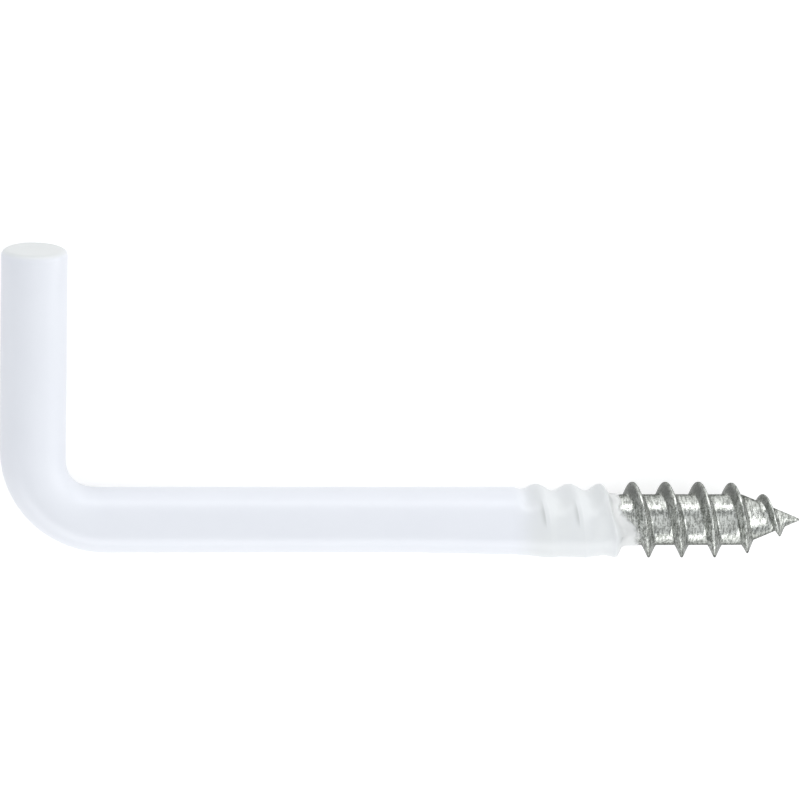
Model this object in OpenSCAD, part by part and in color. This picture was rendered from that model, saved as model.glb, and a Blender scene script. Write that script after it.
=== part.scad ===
// Screw-in hinge pin: a square-bent steel wire with a rolled wood-screw thread,
// dipped in white plastic up to the middle of the thread.
// Millimetres. The pin lies flat: +X runs along the shank to the point, +Y along the arm
// to its free end, +Z is up. The origin is the middle of the part, on the surface it lies on.

/* [Wire] */
// Thickness of the bare wire
wire_d = 4.2; // [3.2:0.1:6]
// Length over all, from the back of the arm to the point
overall_length = 60; // [50:1:90]
// Height of the arm, from the middle of the shank to its coated end
arm_length = 20.7; // [12:0.1:40]
// Radius of the bend, on the middle of the wire
bend_radius = 5.5; // [4.5:0.1:8]
// Thickness that the wire loses on the inner side of the bend
bend_thinning = 0.4; // [0:0.05:0.6]
// Chamfer where the wire was cut off, under the coating
cut_chamfer = 0.3; // [0.1:0.05:0.8]

/* [Thread] */
// Diameter over the sharp crest
thread_d = 5.68; // [4.6:0.02:8]
// Diameter of the root between the turns
root_d = 3.8; // [2.8:0.05:4.2]
// Rise of the right-handed thread in one turn
pitch = 2.5; // [1.8:0.05:4]
// Length from the point back to where the thread runs out
thread_length = 22; // [18:0.5:30]
// Width of the ridge at its foot
ridge_w = 1.05; // [0.7:0.05:1.5]
// Width of the narrow flat along the crest
crest_w = 0.16; // [0.04:0.02:0.3]
// Length of the conical point
point_length = 4.36; // [3:0.1:7]
// Distance from the point to the last full crest on the arm's side
last_crest = 5.05; // [3:0.05:8]
// Height that the ridge still lacks in its first turns, under the coating
run_out_loss = 0.24; // [0:0.02:0.4]

/* [Coating] */
// Thickness on the plain wire
coat_t = 0.35; // [0.15:0.05:0.8]
// Thickness over the end of the arm
end_t = 0.5; // [0.2:0.05:1.2]
// Rounding of the edge at the end of the arm
end_rounding = 0.5; // [0.1:0.05:0.8]
// Extra thickness that it gains toward the thread, on the side away from the arm
drip_t = 0.15; // [0:0.05:0.3]
// Length of plain shank over which it gains it
drip_length = 8.5; // [3:0.5:12]
// Thickness over the covered crests, on the arm's side
crest_t = 0.1; // [0.06:0.01:0.3]
// Thickness in the covered grooves, on the arm's side
groove_t = 0.3; // [0.15:0.05:0.5]
// Thickness over the covered crests where the coating pooled, away from the arm
pool_t = 0.24; // [0.06:0.01:0.4]
// How far the pool sinks between the crests
pool_drop = 0.1; // [0:0.02:0.3]
// Thickness of the skin in which the coating runs out
skin_t = 0.08; // [0.05:0.01:0.12]
// Bare length from the point to the edge of the skin, on the middle of the shank
bare_length = 12.8; // [10:0.1:15]
// How much nearer to the point the skin ends on the side away from the arm
skin_slant = 1.8; // [0:0.1:3]
// Length of the skin beyond the thick coating
skin_length = 0.9; // [0.5:0.05:2]

/* [Hidden] */

// the wire
wire_r = wire_d / 2;
coat_r = wire_r + coat_t;
arm_run = arm_length - bend_radius;  // the straight arm, up to its coated end
round_fn = 96;
bend_dirs = 40;                      // directions round the wire in the bend
bend_rings = 14;                     // steps along the bend
seam_step = 0.01;                    // how far a faceted length stands inside the round one beside it,
                                     // and how far the round one runs on into it

// the thread, along the shank, counted back from the point
root_r = root_d / 2;
crest_r = thread_d / 2;
ridge_h = crest_r - root_r;
thread_dirs = 32;                    // directions round the thread
foot_at = 0.73;                      // start of the hollow at the ridge's foot, in half widths
foot_rise = 0.25;                    // height there, in ridge heights
thinnest_ridge = 0.4;                // the narrowest ridge of the run-outs, in ridge widths
relief_length = 1.2;                 // the wire narrows to the root over this
run_out_length = 0.95 * pitch;       // the first turn grows over this
full_from = bare_length + 0.8 * pitch;
full_at = bare_length - 0.1 * pitch; // the ridge gains its last height between these two
lowering_from = 6.4;                 // the ridge lowers towards the point from here
fading_from = 1.5;
fading_to = 0.35;                    // and dies out between these two

// the coating over the thread
covered_r = crest_r - run_out_loss;
lump_run_in = 1.4;                   // the lumps start over this length
pool_run_in = 3.2;                   // and the pool over this
thick_run_out = 0.75;                // the thick coating thins to the skin over this length
pool_from = 50;
pool_to = 110;                       // directions between which the coating starts to pool
crest_skin_t = 0.4 * skin_t;
skin_rise = skin_slant / 2;
thick_rise = skin_rise / 2;          // the edge of the thick coating slants less
trim_run = pitch / 2;                // the sleeve keeps to the thread this far past its edge

// the frame
lying_r = max(crest_r, coat_r, covered_r + pool_t);
tip_x = overall_length / 2;
arm_x = coat_r - overall_length / 2;
shank_y = (lying_r - arm_length) / 2;
shank_z = lying_r;
bend_x = arm_x + bend_radius;
bend_y = shank_y + bend_radius;
shank_run = tip_x - thread_length - bend_x;

function mix(a, b, t) = a + (b - a) * t;

// 0 up to a, 1 from b, with a soft start and end between them
function ease(a, b, v) = let (t = min(1, max(0, (v - a) / (b - a)))) t * t * (3 - 2 * t);

// The point d back from the tip, at radius r, in a direction counted from the arm's side
function beside_shank(d, r, dir) = [tip_x - d, shank_y + r * cos(dir), shank_z + r * sin(dir)];

// ---- Thread ----

// Radius of the root: the wire narrows to it, and it ends in the cone of the point
function root_at(d) =
    d < point_length
        ? root_r * d / point_length
        : mix(root_r, wire_r - seam_step, ease(thread_length - relief_length, thread_length, d));

// Height of the ridge as a share of its full height
function ridge_share(d) =
    ease(0, run_out_length, thread_length - d)
    * (1 - run_out_loss / ridge_h * ease(full_at, full_from, d))
    * pow(min(1, max(0, d) / lowering_from), 1 / 3) * ease(fading_to, fading_from, d);

// Section of the ridge: distance from its middle, and share of its height
half_ridge = ridge_w / 2;
ridge_section = [
    [-half_ridge, 0], [-half_ridge * foot_at, foot_rise], [-crest_w / 2, 1],
    [crest_w / 2, 1], [half_ridge * foot_at, foot_rise], [half_ridge, 0]
];
half_groove = (pitch - ridge_w) / 2;
thread_section = concat(ridge_section, [[pitch / 2, 0]]);
lump_section = concat(ridge_section, [for (s = [-0.5, 0, 0.5]) [pitch / 2 + s * half_groove, 0]]);

function steel_radius(d, dir, off, share) = root_at(d) + ridge_h * ridge_share(d) * share;

// ---- Lattice: rings that climb with the thread, by directions round the shank ----

// Ring k in direction i: distance from the point, distance from the middle of the ridge, and
// share of its height. A low ridge is narrow as well.
function station(section, first_turn, k, i) =
    let (place = section[k % len(section)],
         turn = first_turn + floor(k / len(section)) + i / thread_dirs,
         middle = last_crest - pitch * turn,
         width = abs(place[0]) > half_ridge ? 1 : max(thinnest_ridge, ridge_share(middle)))
    [middle - place[0] * width, place[0] * width, place[1]];

// A wall from distance d0 down to d1, as points and outward triangles. All that lies past
// an end is gathered on that end's ring, and an end ring of no radius is one point.
function lattice(section, d0, d1, radius) =
    let (n = thread_dirs, m = len(section),
         first_turn = floor((last_crest - d0) / pitch) - 2,
         last_turn = ceil((last_crest - d1) / pitch) + 2,
         rings = m * (last_turn - first_turn),
         pointed = radius(d1, 0, 0, 0) == 0,
         ends = [for (d = [d0, d1], i = [0:n - 1])
             beside_shank(d, radius(d, 360 * i / n, 0, 0), 360 * i / n)],
         rows = [for (k = [0:rings - 1], i = [0:n - 1])
             let (s = station(section, first_turn, k, i), d = min(d0, max(d1, s[0])),
                  dir = 360 * i / n)
             beside_shank(d, radius(d, dir, s[1], s[2]), dir)],
         index = function (k, i)
             i == n ? index(k + m, 0)
             : let (d = station(section, first_turn, k, i)[0])
               d >= d0 ? i : d <= d1 ? (pointed ? n : n + i) : 2 * n + k * n + i,
         corners = [for (k = [0:rings - m - 2], i = [0:n - 1])
             [index(k, i), index(k + 1, i), index(k + 1, i + 1), index(k, i + 1)]],
         triangles = [for (c = corners, t = [[c[0], c[1], c[2]], [c[0], c[2], c[3]]])
             if (t[0] != t[1] && t[1] != t[2] && t[2] != t[0]) t])
    [concat(ends, rows), triangles];

module thread() {
    wall = lattice(thread_section, thread_length, 0,
        function (d, dir, off, share) steel_radius(d, dir, off, share));
    start = [for (i = [0:thread_dirs - 1]) i];
    polyhedron(wall[0], concat(wall[1], [start]));
}

// ---- Coating over the thread ----

// Radius of the thick coating: lumps over the crests and hollows over the grooves, which are
// nearly full on the side away from the arm
function thick_radius(d, dir, off) =
    let (pool = ease(pool_from, pool_to, min(dir, 360 - dir)),
         lump_r = covered_r + mix(crest_t, pool_t, pool),
         hollow = mix(root_at(d) + groove_t, lump_r - pool_drop, pool),
         lump = (1 + cos(360 * off / pitch)) / 2,
         run_in = mix(lump_run_in, pool_run_in, pool))
    mix(mix(hollow, lump_r, lump), coat_r + drip_t * (1 - cos(dir)) / 2 - seam_step,
        ease(thread_length - run_in, thread_length, d));

// It thins to a skin that follows the steel, thinnest over the sharp crest
function coated_radius(d, dir, off, share) =
    let (edge = bare_length + skin_length + thick_rise * cos(dir),
         skin = mix(skin_t, crest_skin_t, share))
    mix(steel_radius(d, dir, off, share) + skin, thick_radius(d, dir, off),
        ease(edge, edge + thick_run_out, d));

module sleeve() {
    n = thread_dirs;
    far = bare_length - skin_rise - 2 * trim_run;
    // past the trimmed edge both walls level out, so that the lattice ends in a flat ring
    outer = lattice(lump_section, thread_length, far, function (d, dir, off, share)
        mix(root_r + skin_t, coated_radius(d, dir, off, share), ease(far, far + trim_run, d)));
    inner = lattice(thread_section, thread_length, far, function (d, dir, off, share)
        mix(root_r, steel_radius(d, dir, off, share), ease(far, far + trim_run, d)));
    first = len(outer[0]);
    bore = [for (t = inner[1]) [t[2] + first, t[1] + first, t[0] + first]];
    start = [for (i = [0:n - 1])
        let (j = (i + 1) % n) [i, j, first + j, first + i]];
    end = [for (i = [0:n - 1])
        let (j = (i + 1) % n) [n + j, n + i, first + n + i, first + n + j]];
    difference() {
        polyhedron(concat(outer[0], inner[0]), concat(outer[1], bore, start, end));
        translate([tip_x - bare_length, shank_y, shank_z])
            rotate([0, 0, atan(skin_rise / root_r)])
            translate([0, -thread_d, -thread_d]) cube([bare_length, 2 * thread_d, 2 * thread_d]);
    }
}

// ---- Wire ----

// One ring of the bend, t from the arm to the shank; the wire is thinner on the inner side
function bend_ring(r, t) =
    let (thin = bend_thinning / 2 * pow(sin(180 * t), 2), turn = 180 + 90 * t)
    [for (i = [0:bend_dirs - 1])
        let (dir = 360 * i / bend_dirs,
             reach = bend_radius + thin + (r - seam_step - thin) * cos(dir))
        [bend_x + reach * cos(turn), bend_y + reach * sin(turn),
         shank_z + (r - seam_step) * sin(dir)]];

module bend(r) {
    n = bend_dirs;
    points = [for (k = [0:bend_rings]) each bend_ring(r, k / bend_rings)];
    sides = [for (k = [0:bend_rings - 1], i = [0:n - 1])
        let (a = k * n + i, b = k * n + (i + 1) % n)
        each [[a, b, b + n], [a, b + n, a + n]]];
    ends = [[for (i = [n - 1:-1:0]) i], [for (i = [0:n - 1]) bend_rings * n + i]];
    polyhedron(points, concat(sides, ends));
}

// Turns what stands on z = 0 to stand on the bend, along the arm; it starts just inside the bend
module along_arm() {
    translate([arm_x, bend_y - seam_step, shank_z]) rotate([-90, 0, 0]) children();
}

// A round length of the shank, from x0 on
module shank_length(r, x0, length) {
    translate([x0, shank_y, shank_z]) rotate([0, 90, 0])
        cylinder(r = r, h = length, $fn = round_fn);
}

// The shank from just inside the bend on
module plain_shank(r, length) {
    shank_length(r, bend_x - seam_step, seam_step + length);
}

// The coating thickens toward the thread, on the side away from the arm
module drip(run_on) {
    thread_x = tip_x - thread_length;
    hull() {
        shank_length(coat_r - seam_step, thread_x - drip_length, seam_step);
        translate([0, -drip_t / 2, 0]) shank_length(coat_r + drip_t / 2, thread_x, run_on);
    }
}

module bent_wire(run_on) {
    full_run = seam_step + arm_run - end_t - cut_chamfer;
    along_arm() {
        cylinder(r = wire_r, h = full_run, $fn = round_fn);
        translate([0, 0, full_run])
            cylinder(r1 = wire_r, r2 = wire_r - cut_chamfer, h = cut_chamfer, $fn = round_fn);
    }
    bend(wire_r);
    plain_shank(wire_r, shank_run + run_on);
}

module coated_wire(run_on) {
    straight_run = seam_step + arm_run - end_rounding;
    along_arm() rotate_extrude($fn = round_fn) {
        square([coat_r, straight_run]);
        square([coat_r - end_rounding, straight_run + end_rounding]);
        translate([coat_r - end_rounding, straight_run]) intersection() {
            circle(r = end_rounding, $fn = round_fn);
            square(end_rounding);
        }
    }
    bend(coat_r);
    plain_shank(coat_r, shank_run - drip_length + run_on);
    drip(run_on);
}

// ---- Sub-parts ----

module steel_pin() {
    color("silver") {
        bent_wire(run_on = seam_step);
        thread();
    }
}

module plastic_coating() {
    color("white") difference() {
        union() {
            coated_wire(run_on = seam_step);
            sleeve();
        }
        bent_wire(run_on = 2 * seam_step);
    }
}

steel_pin();
plastic_coating();
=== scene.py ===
import math

import bmesh
import bpy
from mathutils import Matrix, Vector, noise


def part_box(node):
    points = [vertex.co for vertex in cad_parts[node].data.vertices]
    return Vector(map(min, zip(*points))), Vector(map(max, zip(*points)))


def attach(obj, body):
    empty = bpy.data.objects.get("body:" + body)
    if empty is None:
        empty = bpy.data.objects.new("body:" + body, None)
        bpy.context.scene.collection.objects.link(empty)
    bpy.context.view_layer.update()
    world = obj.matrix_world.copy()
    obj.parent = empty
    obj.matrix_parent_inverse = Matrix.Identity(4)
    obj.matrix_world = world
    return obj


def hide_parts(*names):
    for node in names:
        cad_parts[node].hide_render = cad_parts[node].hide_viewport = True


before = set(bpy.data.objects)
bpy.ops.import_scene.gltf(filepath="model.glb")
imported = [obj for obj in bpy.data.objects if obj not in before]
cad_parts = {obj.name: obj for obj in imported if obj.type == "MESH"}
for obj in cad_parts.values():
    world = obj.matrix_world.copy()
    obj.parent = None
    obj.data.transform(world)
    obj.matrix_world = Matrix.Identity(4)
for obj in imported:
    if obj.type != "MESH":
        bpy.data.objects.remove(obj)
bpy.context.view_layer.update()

mm = 0.001

# Sizes are in millimetres and angles in degrees. In the functions below, d is a distance back from the
# point and turn a share of a turn round the shank, from the arm's side. Pairs are a start and an end.
wire = {
    "thickness": 4.2,
    "bendRadius": 5.5,
    "bendLoss": 0.4,              # what the wire loses on the inner side of the bend
    "cutChamfer": 0.3,
    "chamferSteps": 2,
    "relief": 1.2,                # the wire narrows to the thread's root over this
    "shankRings": 40,
    "bendSteps": 30,
    "armRings": 16,
    "endRings": (0.86, 0.7, 0.5, 0.28, 0.1),    # shares of the radius of the flat end
}
screw = {
    "crest": 5.68,                # diameter over the ridge
    "root": 3.8,                  # diameter in the groove
    "pitch": 2.5,
    "length": 22.0,
    "point": 4.36,                # length of the cone
    "tipRounding": 0.13,
    "ridgeWidth": 1.08,
    "thinnest": 0.4,              # least share of that width, where the ridge is low
    "crestFlat": 0.07,            # in half ridge widths, as is the next one
    "crestRounding": 0.16,
    "footHollow": 0.3,            # how hollow the flanks are toward their foot
    "hollowPower": 1.7,
    "lastCrest": 5.05,            # from the point to the last full crest, on the arm's side
    "outOfPoint": (0.35, 1.5),    # the ridge comes out of the point
    "climb": 6.4,                 # and reaches its full height here
    "runOut": 0.95,               # it rises from the shank over this many pitches
    "runOutLoss": 0.24,           # height that the first turns lack, under the coating
    "lossOver": (-0.1, 0.8),      # pitches past the bare length over which they lose it
    "turnSteps": 120,
    "ridgeRows": (0.0, 0.04, 0.08, 0.12, 0.17, 0.23, 0.32, 0.45, 0.6, 0.75, 0.88, 1.0),  # in half widths
    "grooveRows": 4,
    "dullTip": 2.4,               # the point is less bright than the rest over this
    "tipDullness": 0.45,
    "flankFoot": (0.0, 0.25),     # shares of the ridge's height where the flank's rougher finish and painted shade begin
    "flankTop": (0.9, 0.98),      # and ends, on the side away from the arm
    "flankSide": (0.2, 0.8),      # how far round that side is, as cosines
    "shadeBack": 1.3,              # painted shade on the flank that faces away from the point; the next is on the flank that faces it, away from the arm
    "shadeFront": 0.75,
    "shadePower": 3,               # how fast that painted shade is lost between the arm's side and the other
}
dip = {
    "thickness": 0.35,
    "overEnd": 0.5,
    "endRounding": 0.5,
    "endSteps": 8,
    "endShade": (0.3, 1.0),       # shares of the rounding over which the painted shade on the arm's flat end comes
    "drip": 0.16,                 # extra on the side away from the arm, gained toward the thread
    "dripLength": 9.0,
    "dripInto": 1.5,              # it is whole this far into the thread
    "overCrest": 0.1,
    "inGroove": 0.3,
    "overPool": 0.25,             # over the crests where it pooled, away from the arm
    "poolDrop": 0.06,
    "poolOver": (30, 88),         # angles from the arm's side over which it starts to pool
    "hollowAt": 0.46,             # the hollow's place, in pitches from the crest toward the point
    "pooledHollowAt": 0.16,
    "levelOver": (1.4, 3.2),      # the lumps end over this, on the arm's side and in the pool
    "tintOver": 2.4,              # and their colour over this
    "sag": 0.27,
    "sagOver": (14.8, 16.2),      # from the point
    "waist": 0.15,                # the pool is lower here, away from the arm
    "waistAt": 14.75,
    "waistLength": 2.1,
    "creaseFront": 0.10,          # width of the painted shade line on a crest, partly the steel showing through, toward the point and away from it
    "creaseBack": 0.40,
    "creasePower": 1.5,
    "creaseIn": (32, 62),         # angles from the arm's side where it comes and goes
    "creaseOut": (70, 90),
    "creaseEnd": (2.0, 1.0),      # it stops this far before the thread's start
    "edgeShade": 0.85,            # how much painted shade darkens the thick coating's edge, partly the steel showing through as it thins
    "edgeAt": 0.3,                # from where the thick coating begins
    "edgeLength": 0.6,
    "edgeThick": (0.6, 1.0),      # shares of skin over which the shade stops
    "edgeOut": (75, 115),         # angles over which it weakens
    "edgeLoss": 0.75,
    "skin": 0.06,
    "crestSkin": 0.03,
    "bareLength": 12.8,
    "slant": 0.9,                 # half of how far the skin's edge slants over the shank
    "slantOver": (40, 115),
    "skinLength": 0.9,
    "thickRunOut": 0.9,           # the thick coating rises over this
    "startWaver": ((0.25, 1.7, 2.5),),                  # depth, detail and seed of each wave
    "edgeWaver": ((0.2, 2.3, 0.6), (0.12, 6.0, 1.3)),
    "gap": 0.004,                 # between the coating's bore and the steel
}
slack = {
    "seam": 1e-3,                 # the thread's turns are joined, and its start is found, within this
    "point": 1e-4,                # points nearer than this become one
    "edge": 1e-5,                 # edges shorter than this go
}

crestR = screw["crest"] / 2
rootR = screw["root"] / 2
ridgeH = crestR - rootR
ridgeHalf = screw["ridgeWidth"] / 2
wireR = wire["thickness"] / 2
coatR = wireR + dip["thickness"]
pitch = screw["pitch"]
threadStart = screw["length"]

steelLow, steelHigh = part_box("steel_pin")
coatLow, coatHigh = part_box("plastic_coating")
tip = Vector((steelHigh.x / mm, steelLow.y / mm + crestR, steelLow.z / mm + crestR))
armX = coatLow.x / mm + coatR
armEnd = coatHigh.y / mm
bendCentre = Vector((armX + wire["bendRadius"], tip.y + wire["bendRadius"], tip.z))
print("frame loaded")


def mix(a, b, t):
    return a + (b - a) * t


def ease(a, b, v):
    # 0 before a, 1 past b and smooth between
    t = min(1.0, max(0.0, (v - a) / (b - a)))
    return t * t * (3 - 2 * t)


def fromArm(turn):
    return 360 * min(turn, 1 - turn)


def coneAt(d):
    # the cone and its rounded tip
    slope = math.atan2(rootR, screw["point"])
    ball = screw["tipRounding"]
    ahead = ball / math.sin(slope) - ball      # a sharp tip would reach this far past the rounded one
    if d < ball * (1 - math.sin(slope)):
        return math.sqrt(max(0.0, ball * ball - (ball - max(0.0, d)) ** 2))
    return rootR * (d + ahead) / (screw["point"] + ahead)


def rootAt(d):
    if d < screw["point"]:
        return coneAt(d)
    return mix(rootR, wireR, ease(threadStart - wire["relief"], threadStart, d))


def ridgeShare(d):
    # how much of its full height the ridge has
    start = ease(0, screw["runOut"] * pitch, threadStart - d)
    lossFrom, lossTo = (dip["bareLength"] + pitches * pitch for pitches in screw["lossOver"])
    lost = screw["runOutLoss"] / ridgeH * ease(lossFrom, lossTo, d)
    climbed = min(1.0, max(0.0, d) / screw["climb"]) ** (1 / 3)
    return start * (1 - lost) * climbed * ease(*screw["outOfPoint"], d)


def ridgeWidth(d):
    # a low ridge is narrow as well
    return max(screw["thinnest"], ridgeShare(d))


def nearest(along):
    # a distance along the shank, to the nearest turn of the ridge
    return (along + pitch / 2) % pitch - pitch / 2


def offRidge(d, turn):
    # distance along the shank from the middle of the nearest ridge, toward the point
    return nearest(screw["lastCrest"] - pitch * turn - d)


def flank(d, turn):
    # the ridge's section, 1 on the narrow flat of the crest and 0 in the groove
    off = offRidge(d, turn)
    t = abs(off) / (ridgeHalf * ridgeWidth(d + off))
    t = min(1.0, max(0.0, (t - screw["crestFlat"]) / (1 - screw["crestFlat"])))
    soft = screw["crestRounding"]
    down = (math.hypot(1, soft) - math.hypot(t, soft)) / (math.hypot(1, soft) - soft)
    return mix(down, down ** screw["hollowPower"], screw["footHollow"])


def steelRadius(d, turn):
    return rootAt(d) + ridgeH * ridgeShare(d) * flank(d, turn)


def boreRadius(d, turn):
    return steelRadius(d, turn) + dip["gap"]


def dripAt(d, turn):
    # the coating thickens toward the thread, on the side away from the arm
    grown = ease(threadStart + dip["dripLength"], threadStart - dip["dripInto"], d)
    return dip["drip"] * grown * (1 - math.cos(2 * math.pi * turn)) / 2


def thickRadius(d, turn):
    # lumps over the ridge on the arm's side, a nearly level pool on the other, then the plain coating
    pool = ease(*dip["poolOver"], fromArm(turn))
    lumpR = crestR - screw["runOutLoss"] + mix(dip["overCrest"], dip["overPool"], pool)
    hollowR = mix(rootAt(d) + dip["inGroove"], lumpR - dip["poolDrop"], pool)
    hollowAt = mix(dip["hollowAt"], dip["pooledHollowAt"], pool)
    sag = dip["sag"] * ease(*dip["sagOver"], d)      # toward the point; the lump at the edge has none
    place = nearest(offRidge(d, turn) - sag) / pitch % 1.0
    down = place / hollowAt if place < hollowAt else (1 - place) / (1 - hollowAt)
    lump = (1 + math.cos(math.pi * down)) / 2
    waist = dip["waist"] * pool * (1 - ease(0, dip["waistLength"] / 2, abs(d - dip["waistAt"])))
    level = ease(threadStart - mix(*dip["levelOver"], pool), threadStart, d)
    return mix(mix(hollowR, lumpR, lump) - waist, coatR + dripAt(d, turn), level)


def waver(turn, parts):
    angle = 2 * math.pi * turn
    return sum(depth * noise.noise(Vector((math.cos(angle), math.sin(angle), seed)) * detail)
               for depth, detail, seed in parts)


def slantAt(turn):
    # the coating ends further from the point on the arm's side
    return dip["slant"] * (1 - 2 * ease(*dip["slantOver"], fromArm(turn)))


def skinStart(turn):
    # where the skin ends and the thick coating begins
    return dip["bareLength"] + dip["skinLength"] + slantAt(turn) / 2 + waver(turn, dip["startWaver"])


def skinEdge(turn):
    # where the bare steel ends and the skin begins
    return dip["bareLength"] + slantAt(turn) + waver(turn, dip["edgeWaver"])


def skinShare(d, turn):
    start = skinStart(turn)
    return 1 - ease(start, start + dip["thickRunOut"], d)


def coatRadius(d, turn):
    skin = steelRadius(d, turn) + mix(dip["skin"], dip["crestSkin"], flank(d, turn))
    return mix(thickRadius(d, turn), skin, skinShare(d, turn))


def crestThinAndShade(d, turn):
    # painted shade along a ridge's crest, partly the steel showing through the thin coating there
    off = offRidge(d, turn)
    width = dip["creaseFront"] if off > 0 else dip["creaseBack"]
    near = (1 - ease(0, width, abs(off))) ** dip["creasePower"]
    around = ease(*dip["creaseIn"], fromArm(turn)) * (1 - ease(*dip["creaseOut"], fromArm(turn)))
    endFrom, endTo = (threadStart - before for before in dip["creaseEnd"])
    return near * around * ease(*dip["sagOver"], d) * (1 - ease(endFrom, endTo, d))


def edgeThinAndShade(d, turn):
    # painted shade where the thick coating ends, partly the steel showing through as it thins
    past = max(0.0, d - skinStart(turn) - dip["edgeAt"])
    thick = 1 - ease(*dip["edgeThick"], skinShare(d, turn))
    around = 1 - dip["edgeLoss"] * ease(*dip["edgeOut"], fromArm(turn))
    return dip["edgeShade"] * math.exp(-past / dip["edgeLength"]) * thick * around


def marksAt(d, turn):
    # what the materials read from the thread
    flankShare = flank(d, turn)
    across = math.cos(2 * math.pi * turn)      # 1 on the arm's side
    halfway = math.sqrt(4 * flankShare * (1 - flankShare))
    allOver = ease(*screw["flankFoot"], flankShare) * (1 - ease(*screw["flankTop"], flankShare))
    onFlank = mix(halfway, allOver, ease(*screw["flankSide"], -across)) * ridgeShare(d)
    tipSide = screw["tipDullness"] * (1 - ease(screw["dullTip"] / 2, screw["dullTip"], d))
    # painted shade on the flanks at the arm's side and opposite it, in place of dark reflections
    dullAndShade = 0.0
    if offRidge(d, turn) < 0:
        dullAndShade = onFlank * abs(across) ** screw["shadePower"] * screw["shadeBack"]
    elif across < 0:
        dullAndShade = onFlank * abs(across) ** screw["shadePower"] * screw["shadeFront"]
    return {
        "side": max(onFlank, tipSide),
        "dullAndShade": dullAndShade,
        "skin": skinShare(d, turn),
        "veil": ease(skinEdge(turn), skinStart(turn), d),
        "lumps": 1 - ease(threadStart - dip["tintOver"], threadStart, d),
        # painted shade on the crests and at the thick coating's edge, partly the steel showing through
        "thinCoatAndShade": max(crestThinAndShade(d, turn), edgeThinAndShade(d, turn)),
    }


def vertsOf(geom):
    return [g for g in geom if isinstance(g, bmesh.types.BMVert)]


def vertsAlong(rim):
    return list({v for e in rim for v in e.verts})


def turnOf(v):
    return (math.atan2(v.co.z - tip.z, v.co.y - tip.y) / (2 * math.pi)) % 1.0


def setVert(v, d, turn, r):
    angle = 2 * math.pi * turn
    v.co = (tip.x - d, tip.y + r * math.cos(angle), tip.z + r * math.sin(angle))


def sectionOffsets():
    # where one pitch of the thread has points, from the middle of the ridge
    groove = pitch / 2 - ridgeHalf
    rows = screw["grooveRows"]
    offs = [ridgeHalf * share for share in screw["ridgeRows"]]
    offs += [ridgeHalf + groove * (row + 1) / rows for row in range(rows)]
    return sorted({round(-off, 6) for off in offs} | {round(off, 6) for off in offs})


def spinThread(bm):
    # one pitch of the section is spun through a turn as a screw, and the turn is repeated along the shank
    behind = math.ceil((threadStart - screw["lastCrest"]) / pitch) + 1
    turns = behind + math.ceil(screw["lastCrest"] / pitch) + 1
    startX = tip.x - screw["lastCrest"] - pitch * behind
    row = [bm.verts.new((startX + off, tip.y + rootR, tip.z)) for off in sectionOffsets()]
    edges = [bm.edges.new(pair) for pair in zip(row, row[1:])]
    bmesh.ops.spin(bm, geom=row + edges, cent=(0, tip.y, tip.z), axis=(1, 0, 0),
                   dvec=(pitch / screw["turnSteps"], 0, 0), angle=2 * math.pi, steps=screw["turnSteps"])
    oneTurn = bm.verts[:] + bm.edges[:] + bm.faces[:]
    for k in range(1, turns):
        copy = bmesh.ops.duplicate(bm, geom=oneTurn)["geom"]
        bmesh.ops.translate(bm, vec=(pitch * k, 0, 0), verts=vertsOf(copy))
    bmesh.ops.remove_doubles(bm, verts=bm.verts, dist=slack["seam"])


def threadWall(bm, radiusOf, farEnd, layers):
    # shapes the thread from farEnd back to its start, and returns the rim there
    spinThread(bm)
    for v in bm.verts:
        turn = turnOf(v)
        d = tip.x - v.co.x
        off = offRidge(d, turn)
        if abs(off) < ridgeHalf + slack["seam"]:      # the ridge's own points, not the groove's
            d += off * (1 - ridgeWidth(d + off))
        d = min(threadStart, max(farEnd(turn), d))
        setVert(v, d, turn, radiusOf(d, turn))
        for name, share in marksAt(d, turn).items():
            v[layers[name]] = share
    bmesh.ops.remove_doubles(bm, verts=bm.verts, dist=slack["point"])
    bmesh.ops.dissolve_degenerate(bm, edges=bm.edges, dist=slack["edge"])
    bmesh.ops.delete(bm, geom=[e for e in bm.edges if e.is_wire], context="EDGES")
    startX = tip.x - threadStart
    return [e for e in bm.edges if e.is_boundary
            and all(abs(v.co.x - startX) < slack["seam"] for v in e.verts)]


def pull(bm, rim, way):
    # extrudes an open rim along way, and returns the new one
    made = bmesh.ops.extrude_edge_only(bm, edges=rim)["geom"]
    verts = vertsOf(made)
    bmesh.ops.translate(bm, vec=way, verts=verts)
    fresh = set(verts)
    return [g for g in made if isinstance(g, bmesh.types.BMEdge) and set(g.verts) <= fresh]


def shankWall(bm, rim, dripping):
    # from the thread's start to the bend
    run = tip.x - threadStart - bendCentre.x
    for ring in range(wire["shankRings"]):
        rim = pull(bm, rim, (-run / wire["shankRings"], 0, 0))
        if dripping:
            for v in vertsAlong(rim):
                turn = turnOf(v)
                d = tip.x - v.co.x
                setVert(v, d, turn, coatR + dripAt(d, turn))
    return rim


def bendWall(bm, rim, r):
    before = set(bm.verts)
    spun = bmesh.ops.spin(bm, geom=rim + vertsAlong(rim), cent=bendCentre, axis=(0, 0, 1),
                          angle=-math.pi / 2, steps=wire["bendSteps"])["geom_last"]
    for v in set(bm.verts) - before:
        out = Vector((v.co.x - bendCentre.x, v.co.y - bendCentre.y, 0))
        turned = math.atan2(-out.x, -out.y) / (math.pi / 2)   # 0 at the shank, 1 at the arm
        thin = wire["bendLoss"] / 2 * math.sin(math.pi * min(1, max(0, turned))) ** 2
        reach = wire["bendRadius"] + thin + (out.length - wire["bendRadius"]) * (r - thin) / r
        v.co.xy = bendCentre.xy + out.xy.normalized() * reach
    return [g for g in spun if isinstance(g, bmesh.types.BMEdge)]


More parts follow.
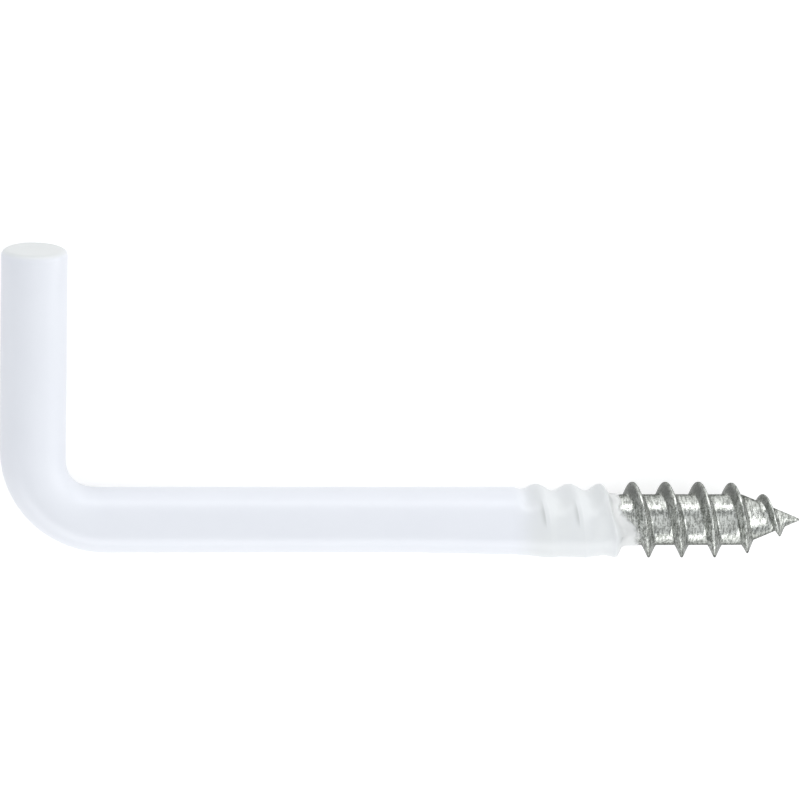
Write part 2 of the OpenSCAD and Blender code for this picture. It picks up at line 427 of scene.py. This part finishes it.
def armWall(bm, rim, r, endAt, rounding, steps, layers):
    # up the arm, round its edge and in to the middle of its end
    run = endAt - rounding - bendCentre.y
    for ring in range(wire["armRings"]):
        rim = pull(bm, rim, (0, run / wire["armRings"], 0))
    flat = r - rounding
    angles = [math.pi / 2 * (step + 1) / steps for step in range(steps)]
    rings = [(flat + rounding * math.cos(angle), rounding * math.sin(angle)) for angle in angles]
    rings += [(flat * share, rounding) for share in wire["endRings"]]
    lastR, lastRise = r, 0.0
    for ringR, rise in rings:
        rim = pull(bm, rim, (0, rise - lastRise, 0))
        bmesh.ops.scale(bm, vec=(ringR / lastR, 1, ringR / lastR),
                        space=Matrix.Translation((-armX, 0, -tip.z)), verts=vertsAlong(rim))
        for v in vertsAlong(rim):
            # painted shade on the arm's flat end
            v[layers["end"]] = ease(*dip["endShade"], rise / rounding)
        lastR, lastRise = ringR, rise
    bmesh.ops.edgeloop_fill(bm, edges=rim)


def wall(radiusOf, farEnd, r, endAt, rounding, steps, dripping=False):
    bm = bmesh.new()
    names = ("skin", "lumps", "veil", "thinCoatAndShade", "side", "dullAndShade", "end")
    for name in names:
        bm.verts.layers.float.new(name)
    layers = {name: bm.verts.layers.float[name] for name in names}
    rim = threadWall(bm, radiusOf, farEnd, layers)
    rim = shankWall(bm, rim, dripping)
    rim = bendWall(bm, rim, r)
    armWall(bm, rim, r, endAt, rounding, steps, layers)
    return bm


def finishPiece(bm, name, node, material):
    bmesh.ops.recalc_face_normals(bm, faces=bm.faces)
    bmesh.ops.scale(bm, vec=(mm, mm, mm), verts=bm.verts)
    for f in bm.faces:
        f.smooth = True
    mesh = bpy.data.meshes.new(name)
    bm.to_mesh(mesh)
    openEdges = sum(1 for e in bm.edges if not e.is_manifold)
    bm.free()
    piece = bpy.data.objects.new(name, mesh)
    bpy.context.scene.collection.objects.link(piece)
    mesh.materials.append(material)
    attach(piece, "root")
    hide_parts(node)
    print(name, len(mesh.polygons), "faces, open edges", openEdges)


class Port:
    # one socket of a node; arithmetic on it adds Math nodes

    def __init__(self, finish, socket):
        self.finish = finish
        self.socket = socket

    def math(self, operation, *values):
        return self.finish.node("ShaderNodeMath", {"operation": operation}, dict(enumerate(values)))

    def __add__(self, other):
        return self.math("ADD", self, other)

    __radd__ = __add__

    def __mul__(self, other):
        return self.math("MULTIPLY", self, other)

    __rmul__ = __mul__

    def __sub__(self, other):
        return self.math("SUBTRACT", self, other)

    def __rsub__(self, other):
        return self.math("SUBTRACT", other, self)


class Finish:
    # a material; every other node in it comes from node()

    def __init__(self, name):
        self.material = bpy.data.materials.new(name)
        self.material.use_nodes = True
        self.tree = self.material.node_tree
        self.tree.nodes.clear()

    def node(self, kind, settings, sockets, output=0):
        node = self.tree.nodes.new(kind)
        for key, value in settings.items():
            setattr(node, key, value)
        for key, value in sockets.items():
            if isinstance(value, Port):
                self.tree.links.new(value.socket, node.inputs[key])
            else:
                node.inputs[key].default_value = value
        return Port(self, node.outputs[output]) if node.outputs else None

    def inMillimetres(self, scale=(1, 1, 1)):
        spot = self.node("ShaderNodeTexCoord", {}, {}, "Object")
        return self.node("ShaderNodeVectorMath", {"operation": "MULTIPLY"},
                         {0: spot, 1: [s / mm for s in scale]})

    def attribute(self, name):
        return self.node("ShaderNodeAttribute", {"attribute_name": name}, {}, "Fac")

    def grain(self, spot, scale, detail=2.0, rough=0.5):
        return self.node("ShaderNodeTexNoise", {},
                         {"Vector": spot, "Scale": scale, "Detail": detail, "Roughness": rough})

    def stretch(self, value, low, high, toLow=0.0, toHigh=1.0):
        return self.node("ShaderNodeMapRange", {"interpolation_type": "SMOOTHSTEP"},
                         {"Value": value, "From Min": low, "From Max": high,
                          "To Min": toLow, "To Max": toHigh})

    def mixed(self, factor, a, b):
        return self.node("ShaderNodeMix", {"data_type": "RGBA"}, {0: factor, 6: a, 7: b}, 2)

    def bump(self, height, depth, strength):
        return self.node("ShaderNodeBump", {},
                         {"Strength": strength, "Distance": depth * mm, "Height": height})

    def surface(self, shader):
        self.node("ShaderNodeOutputMaterial", {}, {"Surface": shader})
        return self.material


plastic = {
    "white": (0.82, 0.84, 0.885, 1),
    "overThread": (0.765, 0.785, 0.78, 1),
    "overThreadShare": 0.85,
    # a duller white in random clouds
    "dullAndShade": (0.75, 0.77, 0.82, 1),
    "dullAndShadeShare": 0.12,
    # painted shade on the crests and at the thick coating's edge, partly the steel showing through
    "thinCoatAndShade": (0.54, 0.56, 0.555, 1),
    "thinCoatAndShadeShare": 0.7,
    # painted shade on the arm's flat end
    "end": (0.72, 0.74, 0.735, 1),
    "skin": (0.85, 0.86, 0.85, 1),
    "skinCover": 0.95,            # how much of the steel the skin hides at most
    "skinPatches": (0.32, 0.74),  # range of the patchy grain in which it does
    "skinDepth": 0.3,             # how much more it hides toward the thick coating
    "skinFeather": 0.3,           # and how softly it begins
    "cloudScale": 0.35,           # grains are counted per millimetre
    "cloudRange": (0.35, 0.7),
    "patchScale": 1.1,
    "patchDetail": 3.0,
    "peelScale": 1.6,
    "peelDepth": 0.004,
    "peelStrength": 0.5,
    "roughness": 0.26,
    "roughnessRange": 0.12,
    "ior": 1.5,
}


def whiteDip():
    white = Finish("white_dip")
    spot = white.inMillimetres()
    cloud = white.stretch(white.grain(spot, plastic["cloudScale"]), *plastic["cloudRange"])
    peel = white.grain(spot, plastic["peelScale"])
    patch = white.grain(spot, plastic["patchScale"], plastic["patchDetail"])
    skin = white.attribute("skin")
    depth = white.attribute("veil")
    tints = (
        (white.attribute("lumps") * plastic["overThreadShare"], "overThread"),
        (cloud * plastic["dullAndShadeShare"], "dullAndShade"),
        # painted shade on the crests and at the thick coating's edge, partly the steel showing through
        (white.attribute("thinCoatAndShade") * plastic["thinCoatAndShadeShare"], "thinCoatAndShade"),
        # painted shade on the arm's flat end
        (white.attribute("end"), "end"),
        (skin, "skin"),
    )
    colour = plastic["white"]
    for share, name in tints:
        colour = white.mixed(share, colour, plastic[name])
    veil = white.stretch(patch + depth * plastic["skinDepth"], *plastic["skinPatches"],
                         0.0, plastic["skinCover"])
    veil = veil * white.stretch(depth, 0.0, plastic["skinFeather"])
    return white.surface(white.node("ShaderNodeBsdfPrincipled", {}, {
        "Base Color": colour,
        "Roughness": peel * plastic["roughnessRange"] + plastic["roughness"],
        "IOR": plastic["ior"],
        "Alpha": 1 - skin * (1 - veil),
        "Normal": white.bump(peel, plastic["peelDepth"], plastic["peelStrength"]),
    }))


zinc = {
    "pale": (0.72, 0.74, 0.70, 1),
    "dark": (0.25, 0.26, 0.24, 1),
    "sidePale": (0.68, 0.70, 0.66, 1),     # the ridge's sides and the tip, rougher from the rolling
    "sideDark": (0.22, 0.23, 0.21, 1),
    "sideShare": 0.9,
    "dullAndShade": (0.17, 0.175, 0.163, 1),       # painted shade on the ridge's flanks, at the arm's side and opposite it, in place of dark reflections
    "dullAndShadeShare": 0.85,
    "edge": (0.15, 0.15, 0.15, 1),         # zinc goes dark at a grazing angle
    "ior": 1.15,
    "metalLoss": {"side": 0.6, "dullAndShade": 0.32},
    "roughness": 0.13,
    "pitRoughness": 0.13,
    "sideRoughness": 0.1,
    "pitRange": (0.3, 0.7),
    "rolled": (1, 0.25, 0.25),             # marks run round the shank
    "detail": 3.0,
    "streaks": {"scale": 8.0, "shade": 0.45, "side": 0.6, "bump": 0.5},
    "pits": {"scale": 7.0, "grit": 0.65, "shade": 0.35, "side": 0.4, "bump": 0.7},
    "clouds": {"scale": 1.5, "shade": 0.2},
    "shadeRange": (0.40, 0.59),
    "sideRange": (0.42, 0.58),
    "bumpDepth": 0.035,
    "bumpStrength": 0.9,
}


def zincPlate():
    plate = Finish("zinc_plate")
    spot = plate.inMillimetres()
    streak, pit, cloud = zinc["streaks"], zinc["pits"], zinc["clouds"]
    streaks = plate.grain(plate.inMillimetres(zinc["rolled"]), streak["scale"], zinc["detail"])
    pits = plate.grain(spot, pit["scale"], zinc["detail"], pit["grit"])
    clouds = plate.grain(spot, cloud["scale"], zinc["detail"])
    side = plate.attribute("side")
    # painted shade on the ridge's flanks, in place of dark reflections
    dullAndShade = plate.attribute("dullAndShade")
    shade = plate.stretch(streaks * streak["shade"] + pits * pit["shade"] + clouds * cloud["shade"],
                          *zinc["shadeRange"])
    colour = plate.mixed(shade, zinc["dark"], zinc["pale"])
    rough = plate.stretch(streaks * streak["side"] + pits * pit["side"], *zinc["sideRange"])
    grainy = plate.mixed(rough, zinc["sideDark"], zinc["sidePale"])
    colour = plate.mixed(side * zinc["sideShare"], colour, grainy)
    smooth = zinc["roughness"]
    pitted = plate.stretch(pits, *zinc["pitRange"], smooth, smooth + zinc["pitRoughness"])
    loss = zinc["metalLoss"]
    return plate.surface(plate.node("ShaderNodeBsdfPrincipled", {}, {
        # painted shade on the ridge's flanks darkens the zinc here
        "Base Color": plate.mixed(dullAndShade * zinc["dullAndShadeShare"], colour, zinc["dullAndShade"]),
        "Metallic": 1 - side * loss["side"] - dullAndShade * loss["dullAndShade"],
        "IOR": zinc["ior"],
        "Specular Tint": zinc["edge"],
        "Roughness": pitted + side * zinc["sideRoughness"],
        "Normal": plate.bump(streaks * streak["bump"] + pits * pit["bump"],
                             zinc["bumpDepth"], zinc["bumpStrength"]),
    }))


def steelPin():
    bm = wall(steelRadius, lambda turn: 0.0, wireR, armEnd - dip["overEnd"],
              wire["cutChamfer"], wire["chamferSteps"])
    finishPiece(bm, "steelPin", "steel_pin", zincPlate())


def whiteCoat():
    # the bore and the outside are walls of their own, joined by a narrow band at the skin's edge
    bore = wall(boreRadius, skinEdge, wireR + dip["gap"], armEnd - dip["overEnd"] + dip["gap"],
                wire["cutChamfer"], wire["chamferSteps"])
    inner = bpy.data.meshes.new("bore")
    bore.to_mesh(inner)
    bore.free()
    bm = wall(coatRadius, skinEdge, coatR, armEnd, dip["endRounding"], dip["endSteps"], dripping=True)
    bm.from_mesh(inner)
    bpy.data.meshes.remove(inner)
    bmesh.ops.bridge_loops(bm, edges=[e for e in bm.edges if e.is_boundary])
    finishPiece(bm, "whiteCoat", "plastic_coating", whiteDip())


steelPin()
whiteCoat()

studio = {
    "sky": (0.95, 0.97, 1.0, 1),
    "ceiling": 0.62,       # strength of the light from all round
    "paper": (0.62, 0.62, 0.62, 1),
    "lift": 0.60,          # what the floor adds for the camera and in reflections
    "floorHalf": 0.6,      # metres, as the panels' places and sizes
}
panels = {
    "above": {"at": (0.15, 0.0, 0.55), "size": (0.80, 0.80), "watts": 0.62},
    "armSide": {"at": (0.0, 0.30, 0.07), "size": (0.60, 0.10), "watts": 0.51},
    "farSide": {"at": (-0.08, -0.26, 0.10), "size": (0.48, 0.15), "watts": 0.42},
    "pointSide": {"at": (0.24, 0.0, 0.16), "size": (0.20, 0.06), "watts": 0.10},
    "low": {"at": (0.27, 0.02, 0.05), "size": (0.20, 0.07), "watts": 0.12},
}


def lightSky():
    world = bpy.data.worlds.new("studio")
    bpy.context.scene.world = world
    world.use_nodes = True
    sky = world.node_tree.nodes["Background"].inputs
    sky["Color"].default_value = studio["sky"]
    sky["Strength"].default_value = studio["ceiling"]


def paperFinish():
    paper = Finish("paper")
    seen, glossy, through = (paper.node("ShaderNodeLightPath", {}, {}, kind)
                             for kind in ("Is Camera Ray", "Is Glossy Ray", "Is Transmission Ray"))
    matt = paper.node("ShaderNodeBsdfDiffuse", {}, {"Color": studio["paper"]})
    lift = paper.node("ShaderNodeEmission", {}, {"Strength": (seen + glossy + through) * studio["lift"]})
    return paper.surface(paper.node("ShaderNodeAddShader", {}, {0: matt, 1: lift}))


def layFloor():
    bm = bmesh.new()
    bmesh.ops.create_grid(bm, x_segments=1, y_segments=1, size=studio["floorHalf"])
    mesh = bpy.data.meshes.new("floor")
    bm.to_mesh(mesh)
    bm.free()
    mesh.materials.append(paperFinish())
    floor = bpy.data.objects.new("floor", mesh)
    bpy.context.scene.collection.objects.link(floor)


def hangPanel(name, at, size, watts):
    # a soft lamp that faces the middle of the floor
    lamp = bpy.data.lights.new(name, "AREA")
    lamp.shape = "RECTANGLE"
    lamp.size, lamp.size_y = size
    lamp.energy = watts
    holder = bpy.data.objects.new(name, lamp)
    holder.location = at
    holder.rotation_euler = (-Vector(at)).to_track_quat("-Z", "Y").to_euler()
    bpy.context.scene.collection.objects.link(holder)


lightSky()
layFloor()
for name, panel in panels.items():
    hangPanel(name, **panel)
print("studio lit by", len(panels), "panels")

camera = {
    "aim": (-0.385, 0.345, 2.84),
    "distance": 400.0,
    "azimuth": -5.34,
    "tilt": 15.5,
    "roll": 1.576,
    "scale": 13.4745,      # pixels of the picture for one millimetre at the aim
    "picture": 800,        # pixels across
    "film": 36,            # width of the camera's film
    "clip": (0.05, 5.0),   # metres
}


def placeCamera():
    lens = bpy.data.cameras.new("camera")
    lens.sensor_width = camera["film"]
    lens.lens = camera["scale"] * camera["distance"] / camera["picture"] * camera["film"]
    lens.clip_start, lens.clip_end = camera["clip"]
    azimuth, tilt, roll = (math.radians(camera[name]) for name in ("azimuth", "tilt", "roll"))
    ahead = math.cos(azimuth)
    back = Vector((math.sin(azimuth), math.sin(tilt) * ahead, math.cos(tilt) * ahead)).normalized()
    level = Vector((0, 1, 0)).cross(back).normalized()
    upright = back.cross(level)
    right = level * math.cos(roll) + upright * math.sin(roll)
    up = upright * math.cos(roll) - level * math.sin(roll)
    stand = Matrix((right, up, back)).transposed().to_4x4()
    stand.translation = (Vector(camera["aim"]) + back * camera["distance"]) * mm
    view = bpy.data.objects.new("camera", lens)
    view.matrix_world = stand
    bpy.context.scene.collection.objects.link(view)
    bpy.context.scene.camera = view


placeCamera()
bpy.context.scene.view_settings.view_transform = "Standard"
print("camera placed")
